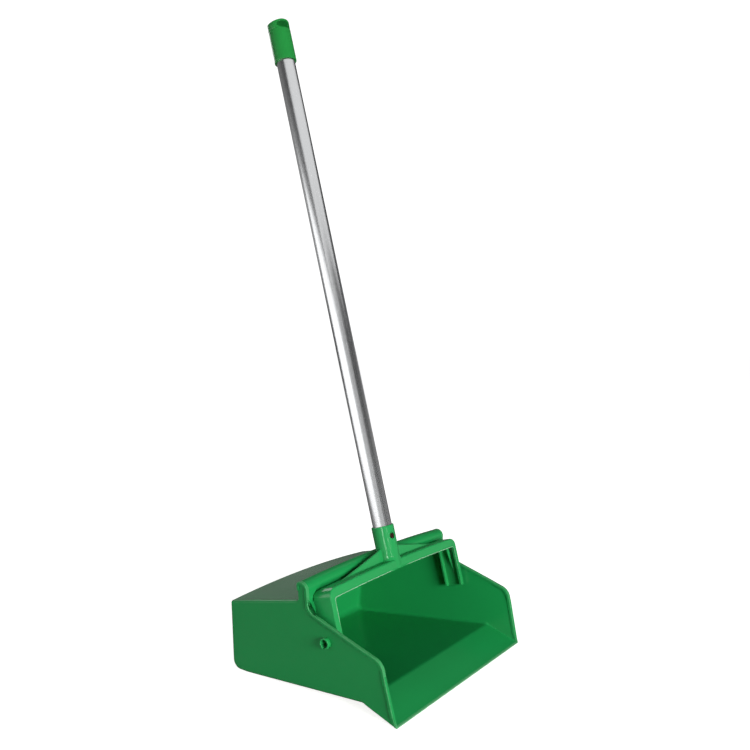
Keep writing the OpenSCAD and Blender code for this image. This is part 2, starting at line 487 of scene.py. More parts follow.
@dataclass(frozen=True)
class DrawnAluminium:
    """Satin tube with fine lines drawn along it.

    lean turns the pattern, in degrees, from upright to along the tube.
    """

    name: str
    lean: float
    colour: tuple[float, float, float] = (0.80, 0.81, 0.82)
    roughness: float = 0.27

    def material(self) -> bpy.types.Material:
        """Builds the material.

        Returns:
            The material.
        """
        bench = Bench(self.name)
        turned = bench.node(
            "ShaderNodeMapping",
            {},
            {"Vector": bench.place(), "Rotation": (math.radians(self.lean), 0.0, 0.0)},
        )
        fine = bench.stretched(turned, (5200.0, 5200.0, 9.0))
        broad = bench.stretched(turned, (900.0, 900.0, 3.0))
        lines = bench.noise(fine, 1.0, 3.0, 0.6)
        bands = bench.noise(broad, 1.0, 2.0)
        stains = bench.noise(bench.place(), 26.0, 4.0, 0.6)
        dull = tuple(0.86 * c for c in self.colour)
        bench.dress(
            base_color=bench.blend((bands * 0.6 + stains * 0.4).clamped(), dull, self.colour),
            metallic=1.0,
            roughness=(lines * 0.12 + stains * 0.06 + (self.roughness - 0.09)).clamped(),
            normal=bench.relief(lines * 0.7 + bands * 0.3, 0.006),
        )
        return bench.material


@dataclass(frozen=True)
class PlatedSteel:
    """Zinc-plated screw steel, mottled and a little rusty."""

    name: str
    colour: tuple[float, float, float] = (0.16, 0.08, 0.06)

    def material(self) -> bpy.types.Material:
        """Builds the material.

        Returns:
            The material.
        """
        bench = Bench(self.name)
        where = bench.place()
        mottle = bench.noise(where, 900.0, 4.0, 0.65)
        rust = bench.node(
            "ShaderNodeMapRange",
            {"interpolation_type": "SMOOTHSTEP"},
            {"Value": bench.noise(where, 340.0, 4.0), "From Min": 0.48, "From Max": 0.7},
        )
        bench.dress(
            base_color=bench.blend(rust, self.colour, (0.09, 0.02, 0.015)),
            metallic=1.0 - rust * 0.7,
            roughness=(mottle * 0.25 + rust * 0.3 + 0.22).clamped(),
            normal=bench.relief(mottle, 0.02),
        )
        return bench.material


# ---------------------------------------------------------------- shared forms


class Body(Enum):
    """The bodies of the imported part."""

    PAN = "pan"
    HANDLE = "handle"


class Slot(Enum):
    """The record's material slots."""

    PAN = "pan_plastic"
    YOKE = "yoke_plastic"
    TUBE = "tube_aluminium"
    PLUG = "plug_plastic"
    SCREW = "screw_steel"
    CAP = "cap_plastic"


def settle(
    piece: bpy.types.Object, finish: bpy.types.Material, body: Body, slot: Slot, *nodes: str
) -> None:
    """Dresses a piece and puts it on its body in place of its CAD nodes.

    Args:
        piece: The object.
        finish: Its material.
        body: The body that it rides on.
        slot: The material slot that its finish answers to; not used.
        nodes: The CAD nodes that it stands for.
    """
    piece.data.materials.clear()
    piece.data.materials.append(finish)
    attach(piece, body.value)
    if nodes:
        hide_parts(*nodes)
    LOG.info("%s: %d vertices on %s", piece.name, len(piece.data.vertices), body.value)


def along_handle(points: Array, pivot: tuple[float, float], lean: float) -> Array:
    """Turns points drawn along the handle into the row frame.

    Args:
        points: (across, behind the axis, up the handle) in millimetres, on the last axis.
        pivot: The pivot's y and z in the row frame, in millimetres.
        lean: The handle's backward lean in degrees.

    Returns:
        The points in the row frame, in millimetres.
    """
    c, s = math.cos(math.radians(lean)), math.sin(math.radians(lean))
    across, behind, up = points[..., 0], points[..., 1], points[..., 2]
    return np.stack(
        [across, pivot[0] + behind * c + up * s, pivot[1] - behind * s + up * c], axis=-1
    )


def lathe(profile: Array, steps: int) -> Array:
    """Turns a profile about the handle's axis.

    At angle a the point (r, u) goes to (r sin a, -r cos a, u).

    Args:
        profile: (radius, height) points of shape (n, 2).
        steps: Steps round the axis.

    Returns:
        A grid of shape (n, steps, 3), whose last column meets its first.
    """
    angle = 2 * math.pi * np.arange(steps) / steps
    radius = profile[:, :1]
    rise = np.broadcast_to(profile[:, 1:], (len(profile), steps))
    return np.stack([radius * np.sin(angle), -radius * np.cos(angle), rise], axis=-1)


def cut(piece: bpy.types.Object, cutter: bpy.types.Object) -> None:
    """Takes the cutter's volume out of a piece, and removes the cutter.

    Args:
        piece: The closed mesh to cut.
        cutter: The closed mesh that it loses.
    """
    hole = piece.modifiers.new("hole", "BOOLEAN")
    hole.object = cutter
    hole.operation = "DIFFERENCE"
    hole.solver = "EXACT"
    result = piece.evaluated_get(bpy.context.evaluated_depsgraph_get())
    mesh = bpy.data.meshes.new_from_object(result)
    piece.modifiers.clear()
    piece.data = mesh
    bpy.data.objects.remove(cutter)
    smooth(mesh, 40.0)


def join(name: str, parts: Sequence[bpy.types.Object], crease: float) -> bpy.types.Object:
    """Makes one object of several closed meshes.

    Args:
        name: The joined object's name.
        parts: The objects, which go.
        crease: Edges that turn by more than this many degrees stay sharp.

    Returns:
        The joined object.
    """
    form = bmesh.new()
    for part in parts:
        form.from_mesh(part.data)
    mesh = bpy.data.meshes.new(name)
    form.to_mesh(mesh)
    form.free()
    for part in parts:
        bpy.data.objects.remove(part)
    smooth(mesh, crease)
    return shown(bpy.data.objects.new(name, mesh))


def rod(start: Array, end: Array, radius: float, steps: int = 64) -> Skin:
    """A closed cylinder between two points, for cutting with.

    Args:
        start: One end's centre.
        end: The other end's centre.
        radius: Its radius.
        steps: Steps round it.

    Returns:
        The cylinder.
    """
    axis = unit(end - start)
    side = unit(np.cross(axis, [0.0, 0.0, 1.0] if abs(axis[2]) < 0.9 else [1.0, 0.0, 0.0]))
    up = np.cross(axis, side)
    angle = 2 * math.pi * np.arange(steps) / steps
    ring = radius * (np.cos(angle)[:, None] * side + np.sin(angle)[:, None] * up)
    skin = Skin()
    skin.strip(np.stack([start + ring, end + ring]))
    return skin


# ---------------------------------------------------------------- the pan


@dataclass
class Pan:
    """The moulded hopper: ramp, floor, back wall, hood, side walls, rolled flange and rim bead.

    Distances are from the lip. Each side wall is a plane whose distance from the middle is
    half_width - taper * distance + flare * height.
    """

    finish: MouldedPlastic
    half_width: float = 141.5
    taper: float = 0.063
    flare: float = 0.079
    wall: float = 2.5
    lip: float = 1.2
    crown: float = 5.2
    pivot: tuple[float, float] = (90.5, 70.0)
    lean: float = 14.3
    saddle: float = 14.45
    hole_radius: float = 6.33
    bead_depth: float = 3.5
    bead_proud: float = 1.3
    bead_inside: float = 0.8
    widest: float = 145.9
    open_rim_top: float = 104.5
    outline: tuple[tuple[float, float, float], ...] = (
        (0.0, 0.0, 0.0),
        (44.0, 14.5, 12.0),
        (226.0, 0.0, 60.0),
        (247.5, 0.0, 11.0),
        (243.25, 85.0, 4.0),
        (129.5, 109.0, 5.0),
        (129.5, 131.5, 5.0),
        (114.5, 131.5, 9.0),
        (114.5, 108.0, 0.0),
    )
    rim: tuple[tuple[float, float, float], ...] = (
        (1.0, 3.0, 0.0),
        (15.59, 66.26, 16.0),
        (114.5, 100.08, 12.0),
        (114.5, 131.5, 9.0),
        (129.5, 131.5, 5.0),
        (129.5, 121.0, 0.0),
    )
    # Each of the outline's corners looks across the wall to this share of the open rim's length
    partners: tuple[float, ...] = (0.0, 0.32, 0.60, 0.68, 0.76, 0.88, 0.93, 0.96, 1.0)
    # Radius of the moulding's outer corner along each of the outline's corners
    corner_radii: tuple[float, ...] = (0.8, 3.5, 4.5, 5.0, 3.5, 2.5, 1.5, 1.2, 1.0)

    def spread(self, distance: Array, height: Array) -> Array:
        """Distance of the side wall's outer face from the middle."""
        return self.half_width - self.taper * distance + self.flare * height

    def rows(self) -> tuple[Path, Array, Array, Array, Array]:
        """The outline and what each of its points needs across the wall.

        Returns:
            The outline's path, the rim point that each row ends at, the corner radius, the
            wall's thickness and the height of the crown, one row each.
        """
        path = rounded_path(self.outline, (10, 18, 4, 12, 14, 6, 2, 6), 10)
        count = np.arange(len(path.points))
        edge = rounded_path(self.rim, (12, 24, 6, 1, 2), 12)
        top = int(np.argmax(edge.points[:, 1] > self.open_rim_top))
        open_rim = Path(edge.points[: top + 1], edge.normals[: top + 1], (0,))
        share = np.interp(count, path.corner_rows, self.partners)
        partner = open_rim.at(share)[0]
        reach = np.linalg.norm(partner - path.points, axis=1)
        radius = np.interp(count, path.corner_rows, self.corner_radii)
        radius = np.minimum(radius, 0.3 * reach)
        distance, height = path.points.T
        thick = self.lip + (self.wall - self.lip) * smooth_step(distance, 0.0, 30.0)
        crown = self.crown * smooth_step(height, 5.0, 84.0)
        crown = crown * np.interp(distance, [120, 238], [0.78, 1])
        return path, partner, radius, thick, crown

    def skin(self, inset: Array, across: Array, radius: Array, rows: tuple) -> Array:
        """One face of the moulding, from the rim at the left to the rim at the right.

        Across the middle a point is at share c of the half width, raised by the crown times
        1 - c^2; the corner is an arc; then the wall goes straight to the rim.

        Args:
            inset: Distance of this face inside the outline, per row.
            across: Distance of this face inside the side plane, one value.
            radius: The corner's radius, per row.
            rows: What rows() gave.

        Returns:
            Points of shape (rows, columns, 3).
        """
        path, partner, _, _, crown = rows
        inner = path.normals
        base = path.points + inset[:, None] * inner
        middle = np.concatenate([np.linspace(0, 0.14, 20)[:-1], np.linspace(0.14, 1, 22)[:-1]])
        steps = np.append(eased(11, 0.6), 1.0)[1:]
        back, sunk = (radius[:, None] * leg for leg in quarter(8))
        arc = base[:, None, :] + sunk[..., None] * inner[:, None, :]
        last = arc[:, -1]
        wall = last[:, None, :] + (partner - last)[:, None, :] * steps[None, :, None]
        arc_x = self.spread(arc[..., 0], arc[..., 1]) - across - back
        wall_x = self.spread(wall[..., 0], wall[..., 1]) - across
        flat_x = arc_x[:, :1] * middle[None, :]
        flat = np.broadcast_to(base[:, None, :], (len(base), len(middle), 2))
        x = np.concatenate([flat_x, arc_x, wall_x], axis=1)
        plane = np.concatenate([flat, arc, wall], axis=1)
        rise = crown[:, None] * np.clip(1 - (x / arc_x[:, :1]) ** 2, 0, None)
        rise[:, len(middle) + 1 :] = 0.0
        half = np.stack([x, plane[..., 0], plane[..., 1] + rise], axis=-1)
        half = self.dented(half, self.saddle + across)
        left = half[:, :0:-1] * np.array([-1.0, 1.0, 1.0])
        return np.concatenate([left, half], axis=1)

    def dented(self, points: Array, radius: float) -> Array:
        """Pushes the flange back where the socket rests in it.

        Behind the handle's axis a point of the flange keeps a distance of at least
        sqrt(radius^2 - x^2), blended in over the last few millimetres.

        Args:
            points: (across, distance from the lip, height) on the last axis.
            radius: The saddle's radius for this face.

        Returns:
            The points.
        """
        c, s = math.cos(math.radians(self.lean)), math.sin(math.radians(self.lean))
        back, up = points[..., 1] - self.pivot[0], points[..., 2] - self.pivot[1]
        behind = back * c - up * s
        wanted = np.sqrt(np.clip(radius**2 - points[..., 0] ** 2, 0, None))
        push = np.clip(wanted - behind, 0, None) / c
        push = push * (up > 30.0) * (back > 0.0) * (np.abs(points[..., 0]) < radius)
        moved = points.copy()
        moved[..., 1] += push
        return moved

    def shell(self) -> bpy.types.Object:
        """The hopper's walls, closed at the rim, the lip and the flange's foot.

        Returns:
            The closed shell, without its bead.
        """
        rows = self.rows()
        path, partner, radius, thick, _ = rows
        outer = self.skin(np.zeros(len(thick)), 0.0, radius, rows)
        reach = np.linalg.norm(partner - path.points, axis=1)
        inner_radius = np.clip(radius - 0.6 * self.wall, 0.3, None)
        inner_radius = inner_radius + 1.6 * smooth_step(reach, 20, 60)
        inner = self.skin(thick, self.wall, inner_radius, rows)[:, ::-1]
        grid = np.concatenate([outer, inner], axis=1)
        # Painted paler most at the lip, and a little wherever the underside meets the floor
        worn_and_highlit = 0.6 * np.exp(-((grid[..., 1] / 1.6) ** 2)) + 0.3 * np.exp(-(grid[..., 2] ** 2))
        skin = Skin()
        skin.grid(self.placed(grid), wrap=True, wear_and_sheen=np.clip(worn_and_highlit, 0, 1))
        columns = outer.shape[1]
        for row in (0, -1):
            pair = np.stack([grid[row, :columns], grid[row, columns:][::-1]])
            skin.grid(self.placed(pair), wear_and_sheen=np.full(pair.shape[:2], 0.6 if row == 0 else 0.0))
        return skin.build("pan_shell")

    def placed(self, points: Array) -> Array:
        """Moves points from the lip's frame to the row frame, none in front of the lip.

        Args:
            points: (across, distance from the lip, height) on the last axis.

        Returns:
            The points in the row frame.
        """
        lip_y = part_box("pan")[0].y / MM
        moved = points + np.array([0.0, lip_y, 0.0])
        moved[..., 1] = np.maximum(moved[..., 1], lip_y)
        return moved

    def bead(self, side: int) -> bpy.types.Object:
        """The thickened edge that runs up the front, along the rim and over the flange.

        A rounded rectangle is carried along the rim: its short side stands proud of the wall's
        outer face, its long side reaches inwards from the edge. It grows from the lip, and where
        the wall is widest it is drawn in to the studs' reach.

        Args:
            side: 1 for the right wall, -1 for the left.

        Returns:
            The closed strip.
        """
        path = rounded_path(((1.1, 0.9, 0.0), *self.rim[1:]), (26, 30, 8, 2, 4), 14)
        grown = smooth_step(travelled(path.points), -2.0, 12.0)
        depth = (1.3 + (self.bead_depth - 1.3) * grown)[:, None]
        proud = (self.bead_proud * grown)[:, None]
        inner = (self.wall + 0.04 + self.bead_inside * grown)[:, None]
        soft = 0.75
        into, out = quarter(6)
        # The ring's corners in turn: outer top, inner top, inner foot, outer foot
        flat = np.ones_like(depth)
        deep = [
            (soft * into - 0.12) * flat,
            (soft * out - 0.12) * flat,
            depth - 0.4 * into[::-1],
            depth - 0.4 * out[::-1],
        ]
        wide = [
            proud - soft * out,
            soft * into - inner,
            0.4 * out[::-1] - inner,
            proud - 0.4 * into[::-1],
        ]
        deep, wide = np.concatenate(deep, axis=1), np.concatenate(wide, axis=1)
        spot = path.points[:, None, :] - deep[..., None] * path.normals[:, None, :]
        x = self.spread(spot[..., 0], spot[..., 1]) + wide
        x = x - np.clip(x.max(axis=1, keepdims=True) - self.widest, 0, None)
        grid = self.placed(np.stack([side * x, spot[..., 0], spot[..., 1]], axis=-1))
        skin = Skin()
        # The bead is painted paler along its top edge
        skin.strip(grid, wear_and_sheen=0.35 * np.exp(-(deep**2)))
        return skin.build(f"bead_{side}")

    def build(self) -> bpy.types.Object:
        """Makes and dresses the pan.

        Returns:
            The pan.
        """
        shell = self.shell()
        far = 200.0
        start, end = self.placed(np.array([[-far, *self.pivot], [far, *self.pivot]]))
        cut(shell, rod(start, end, self.hole_radius).build("cutter"))
        pan = join("pan_moulding", [shell, self.bead(1), self.bead(-1)], 50.0)
        settle(pan, self.finish.material(), Body.PAN, Slot.PAN, "pan")
        return pan


# ---------------------------------------------------------------- the handle's pieces


@dataclass(frozen=True)
class HandleLine:
    """Where the handle stands: its pivot in the row frame and its backward lean."""

    pivot: tuple[float, float]
    lean: float = 14.3

    def place(self, points: Array) -> Array:
        """Turns points drawn along the handle into the row frame."""
        return along_handle(points, self.pivot, self.lean)


@dataclass
class Yoke:
    """The hinged inverted U: channel, ribs, gussets, socket and split studs."""

    finish: MouldedPlastic
    line: HandleLine
    line_proud: float = 0.55
    half_width: float = 135.0
    front: float = -13.0
    back: float = 12.0
    top: float = 55.0
    low: float = 43.5
    foot: float = -7.5
    arm: float = 7.5
    wall: float = 2.5
    arch: float = 2.4
    socket_top: float = 99.0
    socket_floor: float = 58.0
    tube_radius: float = 11.9
    gusset_rise: float = 15.5
    gusset_reach: float = 96.0
    gusset_root: float = 12.0
    gusset_fillet: float = 1.6
    gusset_soft: float = 1.2
    socket_root: float = 13.6
    socket_brim: float = 13.85
    stud_radius: float = 6.25
    stud_bore: float = 4.2
    stud_split: float = 3.2
    stud_reach: float = 146.0
    screw_turn: float = -10.0
    screw_height: float = 86.0
    screw_hole: float = 3.7

    def arched(self, across: Array) -> Array:
        """Height that the bar's arch adds at a distance from the middle: a parabola."""
        return self.arch * np.clip(1 - (across / (self.half_width - self.arm)) ** 2, 0, None)

    def channel(self) -> bpy.types.Object:
        """The C-shaped channel carried along the inverted U.

        Each row of the section stands between a point of the outer line and its partner on
        the inner line; distances from the outer face are laid off along the line that joins
        them. The bar's rear corner is rounder than the arms', and a fine line is raised along
        the front flange's inner edge, where a pale highlight is painted on it.

        Returns:
            The closed channel.
        """
        w, steps = self.half_width, (14, 40, 14)
        foot, top, low, a = self.foot, self.top, self.low, w - self.arm
        outside = [(-w, foot, 0), (-w, top, 10), (w, top, 10), (w, foot, 0)]
        outer = rounded_path(outside, steps, 12)
        inside = [(-a, foot, 0), (-a, low, 2.5), (a, low, 2.5), (a, foot, 0)]
        inner = rounded_path(inside, steps, 12)
        gap = inner.points - outer.points
        reach = np.linalg.norm(gap, axis=1)
        toward = gap / reach[:, None]
        bar = smooth_step(self.half_width - np.abs(outer.points[:, 0]), 0.5, 10.0)
        into, out = quarter(7)
        rear, fore = (1.2 + 6.8 * bar)[:, None], (1.0 + 1.0 * bar)[:, None]
        rear_in, fore_in, tip, proud = np.maximum(rear - self.wall, 0.4), 0.5, 0.45, self.line_proud
        swell = proud * np.array([0.95, 0.85, 0.6, 0.3, 0.12, 0.03, 0.0])
        rise = np.array([0.7, 0.95, 1.25, 1.5, 1.75, 2.1, 2.6])
        front, back = self.front, self.back
        front_in, back_in, col = front + self.wall, back - self.wall, reach[:, None]
        # The section's columns: (behind the axis, in from the outer face), round its outside
        # from the front flange's edge to the rear flange's, then back along its inside
        section = [
            (front - proud + 0.5 * into[::-1], col - 0.5 * out[::-1]),
            (front - swell, col - rise),
            (front + fore * out, fore * into),
            (back - rear * into, rear * out),
            (back - tip * out, col - tip * into),
            (back_in + tip * into[::-1], col - tip * out[::-1]),
            (back_in - rear_in * out, self.wall + rear_in * into),
            (front_in + fore_in * into, self.wall + fore_in * out),
            (front_in + 0 * rise, col - rise[::-1]),
            (front_in - tip * out, col - tip * into),
        ]
        shape = (len(reach), len(into))
        behind = np.concatenate([np.broadcast_to(pair[0], shape) for pair in section], axis=1)
        depth = np.concatenate([np.broadcast_to(pair[1], shape) for pair in section], axis=1)
        spot = outer.points[:, None, :] + depth[..., None] * toward[:, None, :]
        up = spot[..., 1] + self.arched(spot[..., 0]) * smooth_step(spot[..., 1], 20.0, 40.0)
        grid = self.line.place(np.stack([spot[..., 0], behind, up], axis=-1))
        # Painted highlight: the raised line on the front flange is painted pale through the wear
        # attribute, away from the socket and the arms' feet
        lines = np.exp(-(((col - depth - 0.8) / 0.45) ** 2)) * (behind < self.front + 0.2)
        sides = smooth_step(np.abs(spot[..., 0]), 14.0, 20.0)
        worn_and_highlit = 1.1 * lines * sides * smooth_step(spot[..., 1], 0.0, 30.0)
        skin = Skin()
        skin.sleeve(grid, grid.shape[1] // 2, wear_and_sheen=worn_and_highlit)
        return skin.build("channel")

    def rib(self, side: int) -> bpy.types.Object:
        """The thin rib inside an arm: full depth under the bar, fading out above the stud.

        Args:
            side: 1 for the right arm, -1 for the left.

        Returns:
            The closed rib.
        """
        height = np.linspace(5.0, 52.0, 24)
        depth = 0.4 + (self.arm - 1.6) * smooth_step(height, 4.0, 40.0)
        left, right = -3.5, -1.5
        edge = self.half_width - self.wall + 0.4
        soft = np.array([0.0, 0.0, 0.15, 0.5, 0.5, 0.15, 0.0, 0.0])
        ease = np.array([0.0, 0.0, 0.1, 0.5])
        across = np.concatenate([left + ease, right - ease[::-1]])
        inner = np.array([0.0, 1.0, 1.0, 1.0, 1.0, 1.0, 1.0, 0.0])
        x = edge - depth[:, None] * inner - (soft[None, :] - 0.5) * inner
        rise = np.broadcast_to(height[:, None], x.shape)
        grid = np.stack([side * x, np.broadcast_to(across, x.shape), rise], axis=-1)
        grid = self.line.place(grid)
        skin = Skin()
        skin.strip(grid)
        return skin.build(f"rib_{side}")

    def gussets(self) -> bpy.types.Object:
        """The web that braces the socket from both sides, with a filleted foot on the bar.

        At distance x its top stands above the bar by rise * (1 - t)^1.05, t being the share of
        the way from the socket to its end, and by 1.8 exp(-d / 4) at d from the socket. Its
        foot flares by a quarter circle.

        Returns:
            The closed web.
        """
        root, foot, soft = self.gusset_root, self.gusset_fillet, self.gusset_soft
        side = np.linspace(root, self.gusset_reach, 40)
        x = np.concatenate([-side[::-1], side])
        beyond = np.abs(x) - root
        share = np.clip(beyond / (self.gusset_reach - root), 0, 1)
        rise = self.gusset_rise * (1 - share) ** 1.05 + 1.8 * np.exp(-beyond / 4.0)
        base = self.top + self.arched(x)
        into, out = quarter(6)
        half = 1.5
        flank, edge = half + foot * into, half - soft * out
        side_v = np.concatenate([[half + foot + 0.4], flank, [half], edge])
        # Heights: below the bar's top, up the fillet, then under and round the top edge
        low = np.append(-0.8, foot * out)
        fixed = np.broadcast_to(low, (len(x), len(low))) * np.minimum(1, rise / 4)[:, None]
        under = np.append(2.0, soft * into)
        upper = rise[:, None] - under[None, :] * np.minimum(1, rise / 3)[:, None]
        u = base[:, None] + np.concatenate([fixed, upper], axis=1)
        v = np.broadcast_to(side_v, u.shape)
        x_wide = np.broadcast_to(x[:, None], u.shape)
        right = np.stack([x_wide, v, u], axis=-1)
        left = np.stack([x_wide, -v, u], axis=-1)[:, ::-1]
        grid = self.line.place(np.concatenate([right, left], axis=1))
        skin = Skin()
        skin.strip(grid)
        return skin.build("gussets", crease=60)

    def socket(self) -> bpy.types.Object:
        """The round socket with its rounded mouth, floor and screw hole.

        Just above the bar its width grows by the share 0.17 exp(-height / 1.7), which blends it
        into the bar's top.

        Returns:
            The closed socket.
        """
        into, out = quarter(7)
        top, tube, hollow, centre = self.socket_top, self.tube_radius, 10.0, 0.001
        root, brim, soft, sharp = self.socket_root, self.socket_brim, 0.8, 0.4
        mouth = np.stack([brim - soft * out, top - soft * into], axis=1)
        throat = np.stack([tube + sharp * into, top - sharp * out], axis=1)
        low = self.low + self.arch + 0.1
        roof = low + 9.0
        foot = [[centre, roof], [hollow, roof], [hollow, low], [root - 0.6, low], [root, low + 0.6]]
        rise = np.linspace(low + 1.2, top - 1.4, 60)
        body = np.stack([np.interp(rise, [low, top], [root, brim]), rise], axis=1)
        floor = [[tube, top - 2], [tube, self.socket_floor], [centre, self.socket_floor]]
        profile = np.concatenate([foot, body, mouth, throat, floor])
        ring = lathe(profile, 128)
        above = ring[..., 2] - self.top - self.arch
        outside = np.hypot(ring[..., 0], ring[..., 1]) > 13.2
        spread = 0.17 * np.exp(-np.clip(above, 0, None) / 1.7) * outside
        ring[..., 0] = ring[..., 0] * (1 + spread)
        skin = Skin()
        skin.grid(self.line.place(ring), wrap=True)
        socket = skin.build("socket", weld=0.01, crease=50)
        angle = math.radians(self.screw_turn)
        ray = np.array([math.sin(angle), -math.cos(angle), 0.0])
        middle, near, far = np.array([0.0, 0.0, self.screw_height]), 4.0, 30.0
        start, end = self.line.place(np.stack([middle + near * ray, middle + far * ray]))
        cut(socket, rod(start, end, self.screw_hole).build("cutter"))
        return socket

    def stud(self, side: int) -> bpy.types.Object:
        """A hollow stud, split along its underside.

        A C-shaped ring is carried outwards from the arm and its edges are eased at the end.

        Args:
            side: 1 for the right arm, -1 for the left.

        Returns:
            The closed stud.
        """
        x = np.append(self.half_width - 1.0, self.stud_reach - np.array([0.9, 0.5, 0.15, 0.0]))
        ease = np.array([0.0, 0.0, 0.08, 0.35, 0.7])[:, None]
        gap = math.asin(self.stud_split / 2 / self.stud_radius)
        gap_in = math.asin(self.stud_split / 2 / self.stud_bore)
        steps, full = 72, 2 * math.pi
        outer_angle = np.linspace(gap, full - gap, steps)
        inner_angle = np.linspace(full - gap_in, gap_in, steps)
        angle = np.concatenate([outer_angle, inner_angle])[None, :]
        ones = np.ones((1, steps))
        outside, inside = (self.stud_radius - ease) * ones, (self.stud_bore + ease) * ones
        radius = np.concatenate([outside, inside], axis=1)
        pivot_y, pivot_z = self.line.pivot
        y = pivot_y + radius * np.sin(angle)
        z = pivot_z - radius * np.cos(angle)
        grid = np.stack([side * x[:, None] * np.ones_like(y), y, z], axis=-1)
        skin = Skin()
        skin.sleeve(grid, steps)
        return skin.build(f"stud_{side}")

    def build(self) -> bpy.types.Object:
        """Makes and dresses the yoke.

        Returns:
            The yoke.
        """
        parts = [self.channel(), self.gussets(), self.socket()]
        for side in (1, -1):
            parts += [self.rib(side), self.stud(side)]
        yoke = join("yoke_moulding", parts, 48.0)
        settle(yoke, self.finish.material(), Body.HANDLE, Slot.YOKE, "yoke")
        return yoke


@dataclass
class Tube:
    """The drawn aluminium tube."""

    finish: DrawnAluminium
    line: HandleLine
    radius: float = 11.9
    wall: float = 1.0
    foot: float = 58.0
    top: float = 738.0

    def build(self) -> bpy.types.Object:
        """Makes and dresses the tube, a ring of wall turned about the axis with eased ends.

        Returns:
            The tube.
        """
        turn = np.linspace(0, math.pi / 2, 5)
        ease, mid = self.wall / 2, self.radius - self.wall / 2
        lip = np.stack([np.cos(turn), 1 - np.sin(turn)], axis=1) * ease
        height = np.linspace(self.foot + 2, self.top - 2, 24)
        outside = np.stack([np.full(24, self.radius), height], axis=1)
        inside = np.stack([np.full(24, self.radius - self.wall), height[::-1]], axis=1)
        up, down = np.array([mid, self.top]), np.array([mid, self.foot])
        over = [up + lip * [1, -1], (up + lip[::-1] * [-1, -1])[1:]]
        under = [down + lip * [-1, 1], (down + lip[::-1] * [1, 1])[1:]]
        profile = np.concatenate([outside, *over, inside, *under])
        ring = self.line.place(lathe(np.concatenate([profile, profile[:1]]), 160))
        skin = Skin()
        skin.grid(ring, wrap=True)
        tube = skin.build("drawn_tube")
        settle(tube, self.finish.material(), Body.HANDLE, Slot.TUBE, "handle_tube")
        return tube


